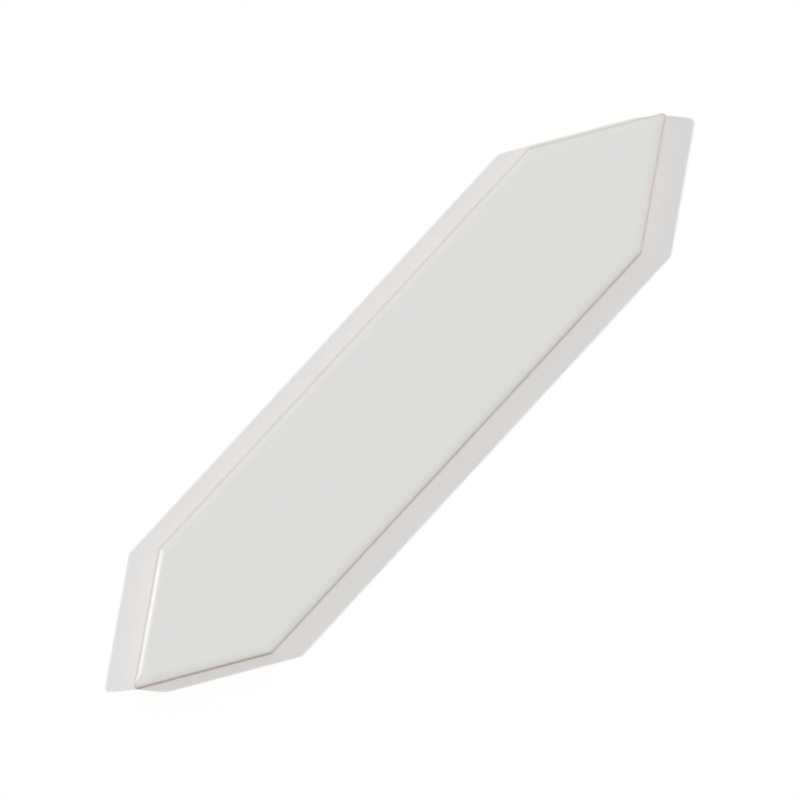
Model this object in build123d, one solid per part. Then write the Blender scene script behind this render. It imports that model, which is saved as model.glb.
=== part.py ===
from build123d import *
from math import cos, radians, sin, tan
import os

# Picket wall tile, pressed and fired in one piece, lying face up. Millimetres.
# X runs from point to point and Z up; the origin is under the middle of the back.

# Outline of the clay
overall_length = 330.0      # over the two rounded points
tile_width = 65.0           # between the two long sides
point_angle = 65.0          # between the two short sides of a point, degrees
point_radius = 1.4          # rounding of the two points
shoulder_radius = 2.5       # rounding of the four shoulders

# Section of the edge, from the back to the face
thickness = 9.0             # back to the flat of the face
back_arris = 0.5            # chamfer round the back
clay_arris = 0.15           # chamfer on top of the bare clay wall
glaze_setback = 0.2         # from the clay wall in to the glazed wall
glaze_height = 1.2          # glazed wall, from the clay up to where the cushion starts
glaze_arris = 0.5           # rounding between the glazed wall and the face
cushion_width = 3.8         # from the glazed wall in to the flat of the face
cushion_drop = 1.15         # how far the face falls over that width
cushion_rounding = 2.0      # how much rounder the corners are where the flat begins
cushion_stations = 4        # outlines that the cushion is lofted through

# Keying relief pressed into the back
cell_size = 8.6             # across one square cell
cell_corner = 1.0           # cut off each of its corners
cell_depth = 0.9            # from the rib tops to its floor
cell_draft = 20.0           # slope of its walls, degrees from upright
rib_width = 2.6             # between two cells
back_border = 4.0           # least land between a cell and the edge of the tile

height_slack = 0.01         # an edge this near to a height lies at it

half_angle = radians(point_angle / 2)
sharp_half_length = overall_length / 2 + point_radius * (1 / sin(half_angle) - 1)
edge_height = thickness - cushion_drop
clay_height = edge_height - glaze_height


def outline(inset, height, rounder=0.0):
    """Face of the outline at a height, every side moved in and the corners made rounder."""
    half_width = tile_width / 2 - inset
    tip_x = sharp_half_length - inset / sin(half_angle)
    shoulder_x = tip_x - half_width / tan(half_angle)
    corners = [
        (tip_x, 0),
        (shoulder_x, half_width),
        (-shoulder_x, half_width),
        (-tip_x, 0),
        (-shoulder_x, -half_width),
        (shoulder_x, -half_width),
    ]
    tip = point_radius + rounder
    shoulder = shoulder_radius + rounder
    radii = [tip, shoulder, shoulder, tip, shoulder, shoulder]
    edge = FilletPolyline(*corners, radius=radii, close=True)
    return Pos(0, 0, height) * make_face(edge)


def edges_at(solid, height):
    """Edges that lie wholly at one height."""
    lowest = height - height_slack
    highest = height + height_slack
    return solid.edges().filter_by_position(Axis.Z, lowest, highest)


def clay_body():
    """Bare clay with a chamfer round its back and on top of its wall."""
    clay = extrude(outline(0, 0), clay_height)
    clay = chamfer(edges_at(clay, 0), back_arris)
    return chamfer(edges_at(clay, clay_height), clay_arris)


def cushion_outline(share):
    """Outline at a share of the cushion's width; a parabola that lands level on the flat."""
    inset = glaze_setback + share * cushion_width
    height = thickness - cushion_drop * (1 - share) ** 2
    return outline(inset, height, rounder=share * cushion_rounding)


def glazed_face():
    """A low wall, a round arris and a cushion that runs out into the flat of the face."""
    wall = extrude(outline(glaze_setback, clay_height), glaze_height)
    last = cushion_stations - 1
    cushion = loft([cushion_outline(station / last) for station in range(cushion_stations)])
    face = wall + cushion
    return fillet(edges_at(face, edge_height), min(glaze_arris, glaze_height))


def cell_fits(x, y):
    """Whether a cell with this centre leaves the border to every side of the tile."""
    far_x = abs(x) + cell_size / 2
    far_y = abs(y) + cell_size / 2
    to_long_side = tile_width / 2 - far_y
    to_short_side = (sharp_half_length - far_x) * sin(half_angle) - far_y * cos(half_angle)
    return min(to_long_side, to_short_side) >= back_border


def keying_cells():
    """Drafted square pockets on a grid, only whole ones, centred on the back."""
    pitch = cell_size + rib_width
    columns = int((overall_length - 2 * back_border + rib_width) // pitch)
    rows = int((tile_width - 2 * back_border + rib_width) // pitch)
    mouth = chamfer(Rectangle(cell_size, cell_size).vertices(), cell_corner)
    cell = extrude(mouth, cell_depth, taper=cell_draft)
    places = [
        place
        for place in GridLocations(pitch, pitch, columns, rows)
        if cell_fits(place.position.X, place.position.Y)
    ]
    return [place * cell for place in places]


tile = clay_body() + glazed_face() - keying_cells()

os.makedirs("parts", exist_ok=True)
tile.label = "picket_tile"
export_step(tile, "parts/picket_tile.step")
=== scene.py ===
import math

import bpy
from mathutils import Matrix, Vector


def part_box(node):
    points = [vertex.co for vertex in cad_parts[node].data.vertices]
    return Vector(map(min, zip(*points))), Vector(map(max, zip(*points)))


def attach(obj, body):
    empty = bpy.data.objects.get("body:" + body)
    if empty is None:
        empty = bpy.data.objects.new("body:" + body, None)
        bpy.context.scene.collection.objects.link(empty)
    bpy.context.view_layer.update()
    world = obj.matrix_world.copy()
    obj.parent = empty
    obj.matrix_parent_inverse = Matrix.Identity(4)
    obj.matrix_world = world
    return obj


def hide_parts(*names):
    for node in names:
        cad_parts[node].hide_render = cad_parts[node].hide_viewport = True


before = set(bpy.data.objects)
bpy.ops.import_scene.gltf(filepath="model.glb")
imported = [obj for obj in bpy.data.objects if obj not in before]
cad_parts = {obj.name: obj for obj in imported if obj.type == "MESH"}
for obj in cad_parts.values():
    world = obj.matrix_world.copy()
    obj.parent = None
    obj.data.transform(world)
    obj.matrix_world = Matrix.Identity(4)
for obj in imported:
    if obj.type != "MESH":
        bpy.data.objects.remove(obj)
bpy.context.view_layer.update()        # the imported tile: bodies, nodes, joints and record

tileLow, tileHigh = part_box("picket_tile")
mm = 0.001               # metres in a millimetre
print("frame loaded")


# helpers for node trees, colours and plain meshes

def addNode(tree, kind, feeds=None, **settings):
    made = tree.nodes.new(kind)
    for name, value in settings.items():
        setattr(made, name, value)
    for key, value in (feeds or {}).items():
        if isinstance(value, bpy.types.NodeSocket):
            tree.links.new(value, made.inputs[key])
        else:
            made.inputs[key].default_value = value
    return made


def emptyTree(owner):
    owner.use_nodes = True
    owner.node_tree.nodes.clear()
    return owner.node_tree


def maths(tree, operation, *values):
    made = addNode(tree, "ShaderNodeMath", dict(enumerate(values)), operation=operation)
    return made.outputs[0]


def stretch(tree, value, fromLow, fromHigh, toLow=0.0, toHigh=1.0, soft=False):
    # carries one range over to another and holds it at both ends
    kind = "SMOOTHSTEP" if soft else "LINEAR"
    feeds = {"Value": value, "From Min": fromLow, "From Max": fromHigh,
             "To Min": toLow, "To Max": toHigh}
    return addNode(tree, "ShaderNodeMapRange", feeds, interpolation_type=kind).outputs["Result"]


def opposite(tree, value):
    return maths(tree, "SUBTRACT", 1.0, value)


def product(tree, first, *others):
    for other in others:
        first = maths(tree, "MULTIPLY", first, other)
    return first


def vectorMaths(tree, operation, first, second):
    # the second is a number when it scales and a vector otherwise
    feeds = {0: first, 3 if operation == "SCALE" else 1: second}
    return addNode(tree, "ShaderNodeVectorMath", feeds, operation=operation).outputs[0]


def partsOf(tree, vector):
    return addNode(tree, "ShaderNodeSeparateXYZ", {0: vector}).outputs


def blendColours(tree, share, first, second):
    feeds = {0: share, 6: first, 7: second}
    return addNode(tree, "ShaderNodeMix", feeds, data_type="RGBA").outputs[2]


def screenColour(red, green, blue):
    # a colour as the screen shows it, 0 to 255, turned into the values that shaders take
    channels = []
    for level in (red, green, blue):
        share = level / 255
        channels.append(share / 12.92 if share <= 0.04045 else ((share + 0.055) / 1.055) ** 2.4)
    return (*channels, 1.0)


def meshObject(name, points, faces=()):
    mesh = bpy.data.meshes.new(name)
    mesh.from_pydata(points, [], faces)
    made = bpy.data.objects.new(name, mesh)
    bpy.context.scene.collection.objects.link(made)
    return made


def storeOnPoints(piece, name, kind, values):
    layer = piece.data.attributes.new(name, kind, "POINT")
    for place, value in zip(layer.data, values):
        if kind == "FLOAT":
            place.value = value
        else:
            place.vector = value


# the outline and the section of the tile, in metres

tileShape = {
    "pointAngle": 65.0,             # between the two short sides of a point, degrees
    "pointRadius": 1.4 * mm,
    "shoulderRadius": 2.5 * mm,
    "backBand": 3.0 * mm,           # land round the back that carries no cells
    "backArris": 0.5 * mm,          # chamfer round the back
    "clayArris": 0.15 * mm,         # chamfer on top of the clay wall
    "wornCut": 0.05 * mm,           # softening of each clay corner
    "glazeSetback": 0.2 * mm,       # from the clay wall in to the glazed wall
    "glazeHeight": 1.2 * mm,
    "glazeArris": 0.5 * mm,         # rounding of the glazed edge
    "cushionWidth": 3.8 * mm,
    "cushionDrop": 1.15 * mm,
    "rounder": 2.0 * mm,            # how much rounder the corners are at the flat
    "sideSpacing": 3.0 * mm,        # mesh columns along a straight side
    "faceSpacing": 2.0 * mm,        # mesh rings across the flat
    "cornerSteps": 10,
    "wallRows": 9,
    "arrisRows": 8,
    "cushionRows": 12,
    "waveFrom": 0.3 * mm,           # where the face starts to wave, up from the glaze's foot
    "waveFull": 4.0 * mm,           # and where it waves in full
    "bareReach": -20.0 * mm,        # the reach given to clay that is nowhere near the glaze
    "weld": 0.001 * mm,             # points nearer than this become one
}

halfAngle = math.radians(tileShape["pointAngle"] / 2)
halfWidth = (tileHigh.y - tileLow.y) / 2
sharpEnd = tileHigh.x + tileShape["pointRadius"] * (1 / math.sin(halfAngle) - 1)


def outlineColumns():
    # a column is a point of the sharp outline and how it travels: inward as the outline is
    # drawn in, soften to the rounding at the edge, and bend for each metre of more radius
    shoulder = sharpEnd - halfWidth / math.tan(halfAngle)
    places = [(sharpEnd, 0), (shoulder, halfWidth), (-shoulder, halfWidth),
              (-sharpEnd, 0), (-shoulder, -halfWidth), (shoulder, -halfWidth)]
    corners = [Vector(place) for place in places]
    rounding = ["pointRadius" if corner.y == 0 else "shoulderRadius" for corner in corners]
    radii = [tileShape[name] for name in rounding]
    following = corners[1:] + corners[:1]
    headings = [(end - start).normalized() for start, end in zip(corners, following)]
    normals = [Vector((heading.y, -heading.x)) for heading in headings]
    mitres = []
    for before, after in zip(normals[-1:] + normals[:-1], normals):
        mitres.append(-2 * (before + after) / (before + after).length_squared)
    columns = []
    for index, corner in enumerate(corners):
        mitre, radius = mitres[index], radii[index]
        arrival, departure = normals[index - 1], normals[index]
        turn = arrival.angle(departure)
        for step in range(tileShape["cornerSteps"] + 1):
            angle = math.atan2(arrival.y, arrival.x) + turn * step / tileShape["cornerSteps"]
            outward = Vector((math.cos(angle), math.sin(angle)))
            columns.append((corner, mitre, radius * (mitre + outward), mitre + outward))
        after = (index + 1) % len(corners)
        nextMitre = mitres[after]
        leaving, reaching = mitre + departure, nextMitre + departure
        steps = round((corners[after] - corner).length / tileShape["sideSpacing"])
        for step in range(1, steps):
            share = step / steps
            soften = (radius * leaving).lerp(radii[after] * reaching, share)
            columns.append((corner.lerp(corners[after], share), mitre.lerp(nextMitre, share),
                            soften, leaving.lerp(reaching, share)))
    return columns


def softCorner(before, corner, after, cut, steps=4):
    # a corner worn round, with a cut that leaves room for the corners beside it
    mostOfRun = 0.45
    nearest = min((before - corner).length, (after - corner).length)
    cut = min(cut, mostOfRun * nearest)
    start = corner + (before - corner).normalized() * cut
    end = corner + (after - corner).normalized() * cut
    arc = []
    for step in range(steps + 1):
        share = step / steps
        arc.append(start.lerp(corner, share).lerp(corner.lerp(end, share), share))
    return arc


def claySection():
    # inset and height, from the land of the back round to the foot of the glaze
    shape = tileShape
    clayTop = tileHigh.z - shape["cushionDrop"] - shape["glazeHeight"]
    turns = [
        (shape["backBand"], 0),
        (shape["backArris"], 0),
        (0, shape["backArris"]),
        (0, clayTop - shape["clayArris"]),
        (shape["clayArris"], clayTop),
        (shape["glazeSetback"], clayTop),
        (shape["glazeSetback"], clayTop + shape["glazeHeight"]),
    ]
    turns = [Vector(turn) for turn in turns]
    section = [turns[0]]
    for before, corner, after in zip(turns, turns[1:], turns[2:]):
        arc = softCorner(before, corner, after, shape["wornCut"])
        run = arc[0] - section[-1]
        if run.length > 4 * shape["wornCut"]:       # long runs get rows, closer near their ends
            for row in range(1, shape["wallRows"]):
                left = 0.5 + 0.5 * math.cos(math.pi * row / shape["wallRows"])
                section.append(arc[0] - run * left)
        section += arc
    return section


def glazeSection():
    # inset and height, from the round arris over the cushion to the middle of the face
    shape = tileShape
    setback, arris, width = shape["glazeSetback"], shape["glazeArris"], shape["cushionWidth"]

    def cushionSlope(inset):
        return 2 * shape["cushionDrop"] / width * (1 - (inset - setback) / width)

    def cushionHeight(inset):
        return tileHigh.z - shape["cushionDrop"] * (1 - (inset - setback) / width) ** 2

    contact = setback
    for _ in range(8):                      # settles where the arc and the cushion touch
        contact = setback + arris * (1 - math.sin(math.atan(cushionSlope(contact))))
    lean = math.atan(cushionSlope(contact))
    centre = Vector((setback + arris, cushionHeight(contact) - arris * math.cos(lean)))
    section = []
    for row in range(shape["arrisRows"] + 1):
        angle = math.pi - (math.pi / 2 - lean) * row / shape["arrisRows"]
        section.append(centre + arris * Vector((math.cos(angle), math.sin(angle))))
    flatStart = setback + width
    for row in range(1, shape["cushionRows"] + 1):
        inset = contact + (flatStart - contact) * row / shape["cushionRows"]
        section.append(Vector((inset, cushionHeight(inset))))
    rings = round((halfWidth - flatStart) / shape["faceSpacing"])
    for ring in range(1, rings + 1):
        section.append(Vector((flatStart + (halfWidth - flatStart) * ring / rings, tileHigh.z)))
    return section


def cornerFade(inset):
    # 1 out to the flat of the face, then down to no rounding on its middle line
    flatStart = tileShape["glazeSetback"] + tileShape["cushionWidth"]
    return min((halfWidth - inset) / (halfWidth - flatStart), 1)


def cornerSwell(inset):
    # how much rounder the corners are at this inset than at the edge
    share = (inset - tileShape["glazeSetback"]) / tileShape["cushionWidth"]
    return tileShape["rounder"] * min(max(share, 0), 1) * cornerFade(inset)


def outlineObject():
    columns = outlineColumns()
    outline = meshObject("tileOutline", [(*column[0], 0) for column in columns])
    for place, name in enumerate(("inward", "soften", "bend"), start=1):
        storeOnPoints(outline, name, "FLOAT_VECTOR", [(*column[place], 0) for column in columns])
    return outline


def sectionObject():
    clay, glaze = claySection(), glazeSection()
    section = clay + glaze
    foot = len(clay) - 3                    # the middle of the corner where the glaze starts
    travelled = [0.0]
    for before, after in zip(section, section[1:]):
        travelled.append(travelled[-1] + (after - before).length)
    onGlaze = [0] * foot + [1] * (len(section) - foot)
    points = [(point.x, cornerFade(point.x) if glazed else 1, point.y)
              for point, glazed in zip(section, onGlaze)]
    made = meshObject("tileSection", points)
    reach = [distance - travelled[foot] for distance in travelled]
    swell = [cornerSwell(point.x) * glazed for point, glazed in zip(section, onGlaze)]
    storeOnPoints(made, "reach", "FLOAT", reach)
    storeOnPoints(made, "swell", "FLOAT", swell)
    return made


# one cell of the back, a drafted pocket with worn lips, mouth on the plane of the back

cellShape = {
    "size": 8.6 * mm,
    "rib": 2.6 * mm,
    "depth": 0.9 * mm,
    "draft": 20.0,                  # degrees from upright
    "cornerRadius": 1.35 * mm,
    "lip": 0.16 * mm,               # rounding of the mouth
    "floorRound": 0.3 * mm,
    "border": 4.0 * mm,             # least land to every side of the tile
    "cornerSteps": 4,
    "sizeScatter": 0.006,           # how much the cells differ, as a share
}


def cellObject():
    shape = cellShape
    lean = math.tan(math.radians(shape["draft"]))
    half = shape["size"] / 2
    turns = [
        Vector((half + 2 * shape["lip"], 0)),           # on the land, past the rounded lip
        Vector((half, 0)),
        Vector((half - shape["depth"] * lean, shape["depth"])),
        Vector((half / 2, shape["depth"])),             # on the floor
    ]
    profile = softCorner(*turns[:3], shape["lip"], steps=3)
    profile += softCorner(*turns[1:], shape["floorRound"], steps=3)
    profile += [turns[3]]
    points, faces = [], []
    ring = 4 * (shape["cornerSteps"] + 1)
    for reach, height in profile:
        radius = max(shape["cornerRadius"] - (half - reach), shape["cornerRadius"] / 3)
        for corner in range(4):
            for step in range(shape["cornerSteps"] + 1):
                angle = math.pi / 2 * (corner + step / shape["cornerSteps"])
                middle = math.pi / 2 * corner + math.pi / 4
                straight = reach - radius
                points.append((
                    math.copysign(straight, math.cos(middle)) + radius * math.cos(angle),
                    math.copysign(straight, math.sin(middle)) + radius * math.sin(angle),
                    height,
                ))
    for row in range(len(profile) - 1):
        for step in range(ring):
            near, far = row * ring + step, row * ring + (step + 1) % ring
            faces.append((near, near + ring, far + ring, far))
    points.append((0, 0, shape["depth"]))
    lastRing = (len(profile) - 1) * ring
    for step in range(ring):
        faces.append((lastRing + step, len(points) - 1, lastRing + (step + 1) % ring))
    return meshObject("keyingCell", points, faces)


# the tree that sweeps the section round the outline and sets the cells into the back

tileTreeInputs = {
    "Section": ("NodeSocketObject", None),
    "Cell": ("NodeSocketObject", None),
    "Cell Size": ("NodeSocketFloat", cellShape["size"]),
    "Rib Width": ("NodeSocketFloat", cellShape["rib"]),
    "Border": ("NodeSocketFloat", cellShape["border"]),
    "Size Scatter": ("NodeSocketFloat", cellShape["sizeScatter"]),
    "Sharp End": ("NodeSocketFloat", sharpEnd),
    "Half Width": ("NodeSocketFloat", halfWidth),
    "Half Angle": ("NodeSocketFloat", halfAngle),
    "Face Wave": ("NodeSocketFloat", 0.035 * mm),       # the height of the slow waves
    "Face Wave Length": ("NodeSocketFloat", 42.0 * mm),
    "Clay Wave": ("NodeSocketFloat", 0.03 * mm),
    "Clay Wave Length": ("NodeSocketFloat", 7.0 * mm),
    "Seed": ("NodeSocketInt", 7),
    "Finish": ("NodeSocketMaterial", None),
}


def position(tree):
    return addNode(tree, "GeometryNodeInputPosition").outputs[0]


def storedValue(tree, name, kind="FLOAT"):
    node = addNode(tree, "GeometryNodeInputNamedAttribute", {"Name": name}, data_type=kind)
    return node.outputs["Attribute"]


def withReach(tree, geometry, reach):
    # stores how far a point lies up the section from the glaze's foot
    feeds = {"Geometry": geometry, "Name": "glazeReach", "Value": reach}
    return addNode(tree, "GeometryNodeStoreNamedAttribute", feeds, data_type="FLOAT").outputs[0]


def bareClay(tree, geometry):
    return withReach(tree, geometry, tileShape["bareReach"])


def welded(tree, geometry):
    feeds = {"Geometry": geometry, "Distance": tileShape["weld"]}
    return addNode(tree, "GeometryNodeMergeByDistance", feeds).outputs[0]


def pointsIn(tree, geometry):
    counted = addNode(tree, "GeometryNodeAttributeDomainSize", {"Geometry": geometry})
    return counted.outputs["Point Count"]


def sampledOnGrid(tree, source, name, index, kind="FLOAT_VECTOR"):
    value = position(tree) if name == "position" else storedValue(tree, name, kind)
    feeds = {"Geometry": source, "Value": value, "Index": index}
    return addNode(tree, "GeometryNodeSampleIndex", feeds, data_type=kind).outputs[0]


def sweptSkin(tree, outline, section):
    # a grid whose columns follow the outline and whose rows follow the section
    columns, rows = pointsIn(tree, outline), pointsIn(tree, section)
    feeds = {"Vertices X": maths(tree, "ADD", columns, 1), "Vertices Y": rows}
    grid = addNode(tree, "GeometryNodeMeshGrid", feeds).outputs["Mesh"]
    index = addNode(tree, "GeometryNodeInputIndex").outputs[0]
    row = maths(tree, "MODULO", index, rows)
    lap = maths(tree, "FLOOR", maths(tree, "DIVIDE", index, rows))
    column = maths(tree, "MODULO", lap, columns)        # the last column is the first again
    station = partsOf(tree, sampledOnGrid(tree, section, "position", row))
    swell = sampledOnGrid(tree, section, "swell", row, "FLOAT")
    place = sampledOnGrid(tree, outline, "position", column)
    for name, share in (("inward", station[0]), ("soften", station[1]), ("bend", swell)):
        travel = vectorMaths(tree, "SCALE", sampledOnGrid(tree, outline, name, column), share)
        place = vectorMaths(tree, "ADD", place, travel)
    lift = addNode(tree, "ShaderNodeCombineXYZ", {2: station[2]}).outputs[0]
    place = vectorMaths(tree, "ADD", place, lift)
    marked = withReach(tree, grid, sampledOnGrid(tree, section, "reach", row, "FLOAT"))
    feeds = {"Geometry": marked, "Position": place}
    return welded(tree, addNode(tree, "GeometryNodeSetPosition", feeds).outputs[0])


def cellFits(tree, given):
    # leaves at least the border between a cell's far corner and the sides of the tile
    parts = partsOf(tree, position(tree))
    halfCell = maths(tree, "MULTIPLY", given["Cell Size"], 0.5)
    farX = maths(tree, "ADD", maths(tree, "ABSOLUTE", parts[0]), halfCell)
    farY = maths(tree, "ADD", maths(tree, "ABSOLUTE", parts[1]), halfCell)
    toLongSide = maths(tree, "SUBTRACT", given["Half Width"], farY)
    along = maths(tree, "MULTIPLY", maths(tree, "SUBTRACT", given["Sharp End"], farX),
                  maths(tree, "SINE", given["Half Angle"]))
    across = maths(tree, "MULTIPLY", farY, maths(tree, "COSINE", given["Half Angle"]))
    toShortSide = maths(tree, "SUBTRACT", along, across)
    nearest = maths(tree, "MINIMUM", toLongSide, toShortSide)
    return maths(tree, "GREATER_THAN", nearest, given["Border"])


def cellRows(tree, extent, pitch, given):
    # how many cells fit in a straight run of the tile between its two borders
    room = maths(tree, "SUBTRACT", extent, maths(tree, "MULTIPLY", given["Border"], 2))
    room = maths(tree, "ADD", room, given["Rib Width"])
    return maths(tree, "FLOOR", maths(tree, "DIVIDE", room, pitch))


def cellGrid(tree, given):
    pitch = maths(tree, "ADD", given["Cell Size"], given["Rib Width"])
    along = cellRows(tree, maths(tree, "MULTIPLY", given["Sharp End"], 2), pitch, given)
    across = cellRows(tree, maths(tree, "MULTIPLY", given["Half Width"], 2), pitch, given)
    feeds = {
        "Size X": maths(tree, "MULTIPLY", maths(tree, "SUBTRACT", along, 1), pitch),
        "Size Y": maths(tree, "MULTIPLY", maths(tree, "SUBTRACT", across, 1), pitch),
        "Vertices X": along,
        "Vertices Y": across,
    }
    grid = addNode(tree, "GeometryNodeMeshGrid", feeds).outputs["Mesh"]
    feeds = {"Geometry": grid, "Selection": opposite(tree, cellFits(tree, given))}
    places = addNode(tree, "GeometryNodeDeleteGeometry", feeds).outputs[0]
    low = opposite(tree, given["Size Scatter"])
    high = maths(tree, "ADD", 1.0, given["Size Scatter"])
    feeds = {2: low, 3: high, "Seed": given["Seed"]}
    scatter = addNode(tree, "FunctionNodeRandomValue", feeds, data_type="FLOAT").outputs[1]
    cell = addNode(tree, "GeometryNodeObjectInfo", {"Object": given["Cell"]}).outputs["Geometry"]
    feeds = {"Points": places, "Instance": cell, "Scale": scatter}
    cells = addNode(tree, "GeometryNodeInstanceOnPoints", feeds).outputs[0]
    return addNode(tree, "GeometryNodeRealizeInstances", {"Geometry": cells}).outputs[0]


def joined(tree, *parts):
    made = addNode(tree, "GeometryNodeJoinGeometry")
    for part in reversed(parts):
        tree.links.new(part, made.inputs[0])
    return made.outputs[0]


def backLand(tree, openMesh):
    # fills the back plane between its rim and the mouths of the cells
    neighbours = addNode(tree, "GeometryNodeInputMeshEdgeNeighbors").outputs[0]
    rim = maths(tree, "LESS_THAN", neighbours, 1.5)     # an open edge has one face
    feeds = {"Mesh": openMesh, "Selection": rim}
    rims = addNode(tree, "GeometryNodeMeshToCurve", feeds).outputs[0]
    land = addNode(tree, "GeometryNodeFillCurve", {"Curve": rims}).outputs[0]
    return addNode(tree, "GeometryNodeFlipFaces", {"Mesh": land}).outputs[0]


def shadedSmooth(tree, geometry, smooth):
    feeds = {"Geometry": geometry, "Shade Smooth": smooth}
    return addNode(tree, "GeometryNodeSetShadeSmooth", feeds).outputs[0]


def wavy(tree, geometry, given, kind, strength):
    # pushes the points in and out along their normals by a slow noise
    scale = maths(tree, "DIVIDE", 1.0, given[kind + " Wave Length"])
    feeds = {"Vector": position(tree), "W": given["Seed"], "Scale": scale, "Detail": 2.0}
    ripple = addNode(tree, "ShaderNodeTexNoise", feeds, noise_dimensions="4D").outputs[0]
    swing = maths(tree, "MULTIPLY", maths(tree, "SUBTRACT", ripple, 0.5), 2.0)
    push = product(tree, swing, given[kind + " Wave"], strength)
    normal = addNode(tree, "GeometryNodeInputNormal").outputs[0]
    feeds = {"Geometry": geometry, "Offset": vectorMaths(tree, "SCALE", normal, push)}
    return addNode(tree, "GeometryNodeSetPosition", feeds).outputs[0]


def tileTree():
    tree = bpy.data.node_groups.new("pressedTile", "GeometryNodeTree")
    tree.is_modifier = True
    tree.interface.new_socket("Geometry", in_out="INPUT", socket_type="NodeSocketGeometry")
    for name, (kind, value) in tileTreeInputs.items():
        socket = tree.interface.new_socket(name, in_out="INPUT", socket_type=kind)
        if value is not None:
            socket.default_value = value
    tree.interface.new_socket("Geometry", in_out="OUTPUT", socket_type="NodeSocketGeometry")
    given = addNode(tree, "NodeGroupInput").outputs
    section = addNode(tree, "GeometryNodeObjectInfo", {"Object": given["Section"]})
    skin = sweptSkin(tree, given["Geometry"], section.outputs["Geometry"])
    reach = storedValue(tree, "glazeReach")
    height = partsOf(tree, position(tree))[2]
    waveFrom, backArris = tileShape["waveFrom"], tileShape["backArris"]
    onGlaze = stretch(tree, reach, waveFrom, tileShape["waveFull"])
    onWall = stretch(tree, height, backArris, 3 * backArris)
    offGlaze = opposite(tree, stretch(tree, reach, -waveFrom, waveFrom))
    skin = wavy(tree, skin, given, "Face", onGlaze)
    skin = wavy(tree, skin, given, "Clay", product(tree, onWall, offGlaze))
    openMesh = joined(tree, skin, bareClay(tree, cellGrid(tree, given)))
    land = bareClay(tree, backLand(tree, openMesh))
    whole = joined(tree, shadedSmooth(tree, openMesh, True), shadedSmooth(tree, land, False))
    feeds = {"Geometry": welded(tree, whole)}
    whole = addNode(tree, "GeometryNodeRealizeInstances", feeds).outputs[0]
    feeds = {"Geometry": whole, "Material": given["Finish"]}
    whole = addNode(tree, "GeometryNodeSetMaterial", feeds).outputs[0]
    addNode(tree, "NodeGroupOutput", {"Geometry": whole})
    return tree


def builtTile(finish):
    host, section, cell = outlineObject(), sectionObject(), cellObject()
    tree = tileTree()
    modifier = host.modifiers.new("pressedTile", "NODES")
    modifier.node_group = tree
    chosen = {"Section": section, "Cell": cell, "Finish": finish}
    for item in tree.interface.items_tree:
        if item.in_out == "INPUT" and item.name in chosen:
            modifier[item.identifier] = chosen[item.name]
    evaluated = host.evaluated_get(bpy.context.evaluated_depsgraph_get())
    mesh = bpy.data.meshes.new_from_object(evaluated)
    mesh.name = "glazedPicketTile"
    tile = bpy.data.objects.new("glazedPicketTile", mesh)
    bpy.context.scene.collection.objects.link(tile)
    for helper in (host, section, cell):
        bpy.data.objects.remove(helper)
    return tile


# the finish: satin glaze over a pale clay body
# a range is the stretch of a noise or a line that a mark runs over, a share is how much of its
# colour the mark lays down, and a chance is how many of the dots show

glazeFinish = {
    "cool": screenColour(217, 219, 217),
    "warm": screenColour(220, 218, 216),
    "cloudLength": 11.0 * mm,
    "cloudRange": (0.3, 0.7),
    "thin": screenColour(204, 185, 167),    # where it runs thin over the arris
    "thickFrom": 0.6 * mm,                  # distances up the section from the glaze's foot
    "thickTo": 2.9 * mm,
    "thinCurve": 2.2,                       # how fast the thin colour fades on the way up
    "speck": screenColour(196, 188, 178),
    "speckSpacing": 16.0 * mm,
    "speckRadius": 0.13 * mm,
    "speckChance": 0.5,
    "speckShare": 0.7,
    "roughness": 0.37,
    "rubLength": 7.0 * mm,                  # slow changes of the roughness
    "rubRange": (0.3, 0.7),
    "rub": 0.03,
    "density": 1.5,                         # index of refraction
    "peelLength": 3.2 * mm,
    "peelHeight": 0.004 * mm,
    "lineRange": (-0.03 * mm, 0.05 * mm),   # where its edge sets in, across its line
    "beadRange": (-0.05 * mm, 0.25 * mm),
    "beadHeight": 0.06 * mm,
    "overrun": 0.04 * mm,                   # how far it runs past its foot
    "wanderLength": 8.0 * mm,
    "wander": 0.5 * mm,
    "raggedLength": 1.3 * mm,
    "ragged": 0.16 * mm,
    "runLength": 13.0 * mm,
    "runRange": (0.66, 0.86),
    "run": 1.1 * mm,                        # the furthest that it runs down the wall
    "mist": screenColour(210, 202, 193),    # sprayed droplets below its edge
    "mistReach": 4.5 * mm,
    "mistCurve": 1.6,
    "mistShare": 0.6,
    "dropletLength": 0.25 * mm,
    "dropletRange": (0.35, 0.65),
    "dropletShares": (0.35, 1.0),
}

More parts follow.
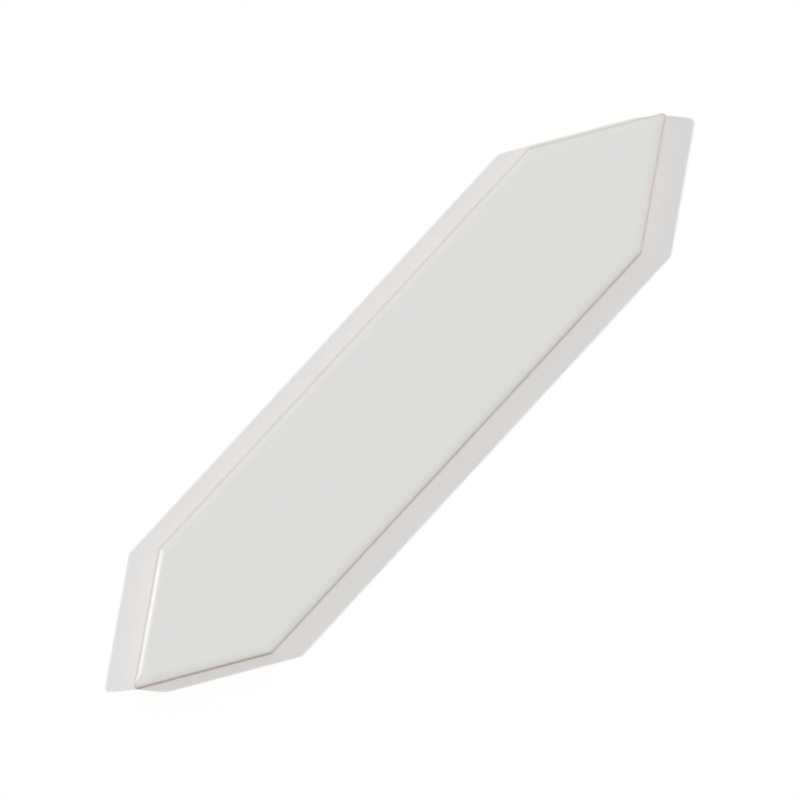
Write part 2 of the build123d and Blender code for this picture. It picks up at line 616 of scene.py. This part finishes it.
clayFinish = {
    "middle": screenColour(199, 188, 178),
    "dark": screenColour(183, 170, 158),
    "pale": screenColour(215, 207, 198),
    "roughness": 0.9,
    "blotchLength": 9.0 * mm,
    "blotchRange": (0.35, 0.7),
    "grainLength": 0.3 * mm,
    "grainRange": (0.35, 0.65),
    "grainShare": 0.3,
    "grainHeight": 0.035 * mm,
    "gritSpacing": 0.95 * mm,               # crushed fired clay, coarse
    "gritRadius": 0.2 * mm,
    "gritChance": 0.45,
    "fineSpacing": 0.45,                    # and fine, as shares of the coarse
    "fineRadius": 0.4,
    "fineChance": 0.5,
    "fineStrength": 0.7,
    "gritShare": 0.55,
    "gritHeight": 0.02 * mm,
    "iron": screenColour(130, 105, 91),
    "ironSpacing": 1.6 * mm,
    "ironRadius": 0.17 * mm,
    "ironChance": 0.3,
    "pitSpacing": 1.7 * mm,
    "pitRadius": 0.15 * mm,
    "pitChance": 0.5,
    "pitDepth": 0.06 * mm,
    "dragLength": 0.7 * mm,                 # across the marks of the mould on the wall
    "dragUpright": 0.05,                    # the less, the longer the marks run upright
    "dragRange": (0.4, 0.68),
    "dragShare": 0.35,
    "dragHeight": 0.03 * mm,
    "chalk": screenColour(226, 221, 214),   # kiln wash, picked up by the ribs of the back
    "chalkReach": 0.12 * mm,                # height over the plane of the ribs
    "chalkLength": 5.0 * mm,
    "chalkRange": (0.4, 0.65),
    "chalkShare": 0.7,
}


def noise(tree, place, waveLength, detail, roughness=0.5):
    feeds = {"Vector": place, "Scale": 1 / waveLength, "Detail": detail, "Roughness": roughness}
    return addNode(tree, "ShaderNodeTexNoise", feeds).outputs[0]


def scatteredDots(tree, place, spacing, radius, showing):
    # soft round dots of mixed sizes in some of the cells of a random pattern
    feeds = {"Vector": place, "Scale": 1 / spacing, "Randomness": 1.0}
    cells = addNode(tree, "ShaderNodeTexVoronoi", feeds, feature="F1").outputs
    chance = addNode(tree, "ShaderNodeSeparateColor", {0: cells["Color"]}).outputs
    size = stretch(tree, chance[1], 0, 1, 0.5 * radius / spacing, radius / spacing)
    ratio = maths(tree, "DIVIDE", cells["Distance"], size)
    dot = stretch(tree, ratio, 1.0, 0.4, soft=True)     # from its edge in to its full colour
    return product(tree, dot, maths(tree, "LESS_THAN", chance[0], showing))


def glazeColour(tree, place, reach):
    glaze = glazeFinish
    clouds = stretch(tree, noise(tree, place, glaze["cloudLength"], 3.0), *glaze["cloudRange"])
    colour = blendColours(tree, clouds, glaze["cool"], glaze["warm"])
    specks = scatteredDots(tree, place, glaze["speckSpacing"], glaze["speckRadius"],
                           glaze["speckChance"])
    colour = blendColours(tree, product(tree, specks, glaze["speckShare"]), colour, glaze["speck"])
    shade = opposite(tree, stretch(tree, reach, glaze["thickFrom"], glaze["thickTo"]))
    shade = maths(tree, "POWER", shade, glaze["thinCurve"])
    return blendColours(tree, shade, colour, glaze["thin"])


def clayGrit(tree, place):
    clay = clayFinish
    spacing, radius = clay["gritSpacing"], clay["gritRadius"]
    coarse = scatteredDots(tree, place, spacing, radius, clay["gritChance"])
    fine = scatteredDots(tree, place, clay["fineSpacing"] * spacing, clay["fineRadius"] * radius,
                         clay["fineChance"])
    return maths(tree, "MAXIMUM", coarse, product(tree, fine, clay["fineStrength"]))


def dragMarks(tree, place):
    # upright streaks left on the wall as the tile came out of its mould
    squeezed = vectorMaths(tree, "MULTIPLY", place, (1, 1, clayFinish["dragUpright"]))
    return noise(tree, squeezed, clayFinish["dragLength"], 3.0, 0.6)


def clayColour(tree, place, height, line):
    clay, backArris = clayFinish, tileShape["backArris"]
    blotches = noise(tree, place, clay["blotchLength"], 4.0, 0.6)
    blotches = stretch(tree, blotches, *clay["blotchRange"])
    colour = blendColours(tree, blotches, clay["middle"], clay["dark"])
    grains = noise(tree, place, clay["grainLength"], 3.0, 0.6)
    grains = stretch(tree, grains, *clay["grainRange"], 0, clay["grainShare"])
    colour = blendColours(tree, grains, colour, clay["pale"])
    streaks = stretch(tree, dragMarks(tree, place), *clay["dragRange"], 0, clay["dragShare"])
    upright = stretch(tree, height, backArris, 1.5 * backArris)     # only on the wall
    colour = blendColours(tree, product(tree, streaks, upright), colour, clay["dark"])
    grit = product(tree, clayGrit(tree, place), clay["gritShare"])
    colour = blendColours(tree, grit, colour, clay["pale"])
    iron = scatteredDots(tree, place, clay["ironSpacing"], clay["ironRadius"], clay["ironChance"])
    colour = blendColours(tree, iron, colour, clay["iron"])
    low = opposite(tree, stretch(tree, height, 0, clay["chalkReach"]))
    dusty = noise(tree, place, clay["chalkLength"], 5.0, 0.65)
    dusty = stretch(tree, dusty, *clay["chalkRange"])
    chalk = product(tree, low, dusty, clay["chalkShare"])
    colour = blendColours(tree, chalk, colour, clay["chalk"])
    return blendColours(tree, glazeMist(tree, place, line), colour, glazeFinish["mist"])


def glazeMist(tree, place, line):
    # the sprayed droplets thin out over their reach below the glaze's edge
    glaze = glazeFinish
    mist = stretch(tree, line, -glaze["mistReach"], 0, 0, 1)
    mist = maths(tree, "POWER", mist, glaze["mistCurve"])
    droplets = noise(tree, place, glaze["dropletLength"], 2.0)
    droplets = stretch(tree, droplets, *glaze["dropletRange"], *glaze["dropletShares"])
    return product(tree, mist, droplets, glaze["mistShare"])


def glazeLine(tree, place, reach):
    # how far inside the glaze's wandering edge a point lies; the edge varies only round the tile
    glaze = glazeFinish
    around = vectorMaths(tree, "MULTIPLY", place, (1, 1, 0))
    slow = maths(tree, "SUBTRACT", noise(tree, around, glaze["wanderLength"], 1.0), 0.5)
    fine = maths(tree, "SUBTRACT", noise(tree, around, glaze["raggedLength"], 2.0), 0.5)
    runs = noise(tree, around, glaze["runLength"], 0.0)
    runs = stretch(tree, runs, *glaze["runRange"], soft=True)
    line = maths(tree, "ADD", reach, glaze["overrun"])
    for swing, size in ((slow, "wander"), (fine, "ragged"), (runs, "run")):
        line = maths(tree, "ADD", line, product(tree, swing, glaze[size]))
    return line


def clayRelief(tree, place):
    marks = (
        (noise(tree, place, clayFinish["grainLength"], 4.0, 0.6), "grainHeight"),
        (dragMarks(tree, place), "dragHeight"),
        (clayGrit(tree, place), "gritHeight"),
    )
    relief = 0.0
    for mark, size in marks:
        relief = maths(tree, "ADD", relief, product(tree, mark, clayFinish[size]))
    pits = scatteredDots(tree, place, clayFinish["pitSpacing"], clayFinish["pitRadius"],
                         clayFinish["pitChance"])
    return maths(tree, "SUBTRACT", relief, product(tree, pits, clayFinish["pitDepth"]))


def glazeRelief(tree, place, line, glazed):
    # the bead along its edge, and the peel of its surface
    bead = stretch(tree, line, *glazeFinish["beadRange"], soft=True)
    bead = product(tree, bead, glazeFinish["beadHeight"])
    peel = noise(tree, place, glazeFinish["peelLength"], 2.0)
    peel = product(tree, peel, glazeFinish["peelHeight"])
    return maths(tree, "ADD", bead, product(tree, glazed, peel))


def satinRoughness(tree, place):
    rub = glazeFinish["rub"]
    slow = noise(tree, place, glazeFinish["rubLength"], 3.0)
    slow = stretch(tree, slow, *glazeFinish["rubRange"], -rub, rub)
    return maths(tree, "ADD", slow, glazeFinish["roughness"])


def glazedClay():
    material = bpy.data.materials.new("glazedClay")
    tree = emptyTree(material)
    place = addNode(tree, "ShaderNodeTexCoord").outputs["Object"]
    height = partsOf(tree, place)[2]
    reach = addNode(tree, "ShaderNodeAttribute", attribute_name="glazeReach").outputs["Fac"]
    line = glazeLine(tree, place, reach)
    glazed = stretch(tree, line, *glazeFinish["lineRange"])
    clay = clayColour(tree, place, height, line)
    colour = blendColours(tree, glazed, clay, glazeColour(tree, place, reach))
    feeds = {0: glazed, 2: clayFinish["roughness"], 3: satinRoughness(tree, place)}
    rough = addNode(tree, "ShaderNodeMix", feeds).outputs[0]
    claySide = product(tree, opposite(tree, glazed), clayRelief(tree, place))
    relief = maths(tree, "ADD", claySide, glazeRelief(tree, place, line, glazed))
    feeds = {"Height": relief, "Distance": 1.0, "Strength": 1.0}    # the relief is in metres
    bump = addNode(tree, "ShaderNodeBump", feeds).outputs[0]
    feeds = {"Base Color": colour, "Roughness": rough, "IOR": glazeFinish["density"],
             "Normal": bump}
    shader = addNode(tree, "ShaderNodeBsdfPrincipled", feeds).outputs[0]
    addNode(tree, "ShaderNodeOutputMaterial", {"Surface": shader})
    return material


tile = builtTile(glazedClay())
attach(tile, "root")
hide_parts("picket_tile")
print("tile made,", len(tile.data.polygons), "faces")


# camera, lamps and floor, laid out in the directions of the picture

studio = {
    "tileTurn": 47.41,              # from the picture's right up to the tile's +X, degrees
    "cameraHeight": 6.0,            # metres above the tile's face
    "cameraOffset": 0.58,           # how far the camera stands towards the picture's bottom
    "lens": 643.4,                  # millimetres, on a sensor 36 wide
    "aimRight": -0.15 * mm,         # the point looked at, from the middle of the face
    "aimUp": -0.16 * mm,
    "lampRise": 31.7,               # degrees above the floor
    "lampSwing": 6.0,               # from left and right towards the picture's top
    "leftShare": 0.33,              # of the light on the floor, from each lamp
    "rightShare": 0.27,
    "roomShare": 0.4,               # of the light on the floor, from the room
    "lampSpread": 3.0,              # degrees
    "glintRise": 46.0,              # the lamps that only shine in the glaze
    "glintSwing": 16.0,
    "leftGlint": 0.31,
    "rightGlint": 0.06,
    "floorReach": 4.0,              # metres from the middle to each side
    "floorColour": (0.8, 0.8, 0.8, 1),      # as it lights the tile; it is seen white
}

turn = math.radians(studio["tileTurn"])
pictureRight = Vector((math.cos(turn), -math.sin(turn), 0))
pictureUp = Vector((math.sin(turn), math.cos(turn), 0))
faceCentre = Vector((0, 0, tileHigh.z))
aim = faceCentre + studio["aimRight"] * pictureRight + studio["aimUp"] * pictureUp


def makeCamera():
    camera = bpy.data.objects.new("camera", bpy.data.cameras.new("camera"))
    bpy.context.scene.collection.objects.link(camera)
    place = aim + Vector((0, 0, studio["cameraHeight"])) - pictureUp * studio["cameraOffset"]
    back = (place - aim).normalized()
    axes = Matrix((pictureRight, back.cross(pictureRight), back)).transposed()
    camera.matrix_world = Matrix.Translation(place) @ axes.to_4x4()
    camera.data.lens = studio["lens"]
    bpy.context.scene.camera = camera


def makeLamp(name, side, rise, swing, share):
    # a far lamp on the left, -1, or the right, 1, as strong as a floor lit by its share needs
    rise, swing = math.radians(rise), math.radians(swing)
    level = side * math.cos(swing) * pictureRight + math.sin(swing) * pictureUp
    towards = math.cos(rise) * level + Vector((0, 0, math.sin(rise)))
    lamp = bpy.data.objects.new(name, bpy.data.lights.new(name, "SUN"))
    lamp.rotation_euler = towards.to_track_quat("Z", "Y").to_euler()
    lamp.data.energy = share * math.pi / math.sin(rise)
    lamp.data.angle = math.radians(studio["lampSpread"])
    bpy.context.scene.collection.objects.link(lamp)
    return lamp


def makeLamps():
    # on each side one lamp that lights and one that only shines in the glaze
    for name, side in (("left", -1), ("right", 1)):
        rise, swing = studio["lampRise"], studio["lampSwing"]
        lamp = makeLamp(name + "Lamp", side, rise, swing, studio[name + "Share"])
        lamp.visible_glossy = False
        rise, swing = studio["glintRise"], studio["glintSwing"]
        glint = makeLamp(name + "Glint", side, rise, swing, studio[name + "Glint"])
        glint.visible_diffuse = False


def seenDirectly(tree):
    # 1 for rays from the camera, mirrored or through glass, 0 for those that light things
    path = addNode(tree, "ShaderNodeLightPath").outputs
    seen = maths(tree, "MAXIMUM", path["Is Camera Ray"], path["Is Glossy Ray"])
    return maths(tree, "MAXIMUM", seen, path["Is Transmission Ray"])


def makeRoom():
    world = bpy.data.worlds.new("room")
    bpy.context.scene.world = world
    tree = emptyTree(world)
    strength = stretch(tree, seenDirectly(tree), 0, 1, studio["roomShare"], 1.0)
    feeds = {"Color": (1, 1, 1, 1), "Strength": strength}
    shader = addNode(tree, "ShaderNodeBackground", feeds).outputs[0]
    addNode(tree, "ShaderNodeOutputWorld", {"Surface": shader})


def makeFloor():
    reach = studio["floorReach"]
    corners = [(-reach, -reach, 0), (reach, -reach, 0), (reach, reach, 0), (-reach, reach, 0)]
    floor = meshObject("floor", corners, [(0, 1, 2, 3)])
    material = bpy.data.materials.new("paleFloor")
    tree = emptyTree(material)
    colour = blendColours(tree, seenDirectly(tree), studio["floorColour"], (1, 1, 1, 1))
    shader = addNode(tree, "ShaderNodeBsdfDiffuse", {"Color": colour}).outputs[0]
    addNode(tree, "ShaderNodeOutputMaterial", {"Surface": shader})
    floor.data.materials.append(material)


makeCamera()
makeLamps()
makeRoom()
makeFloor()
bpy.context.scene.view_settings.view_transform = "Standard"
print("studio made")
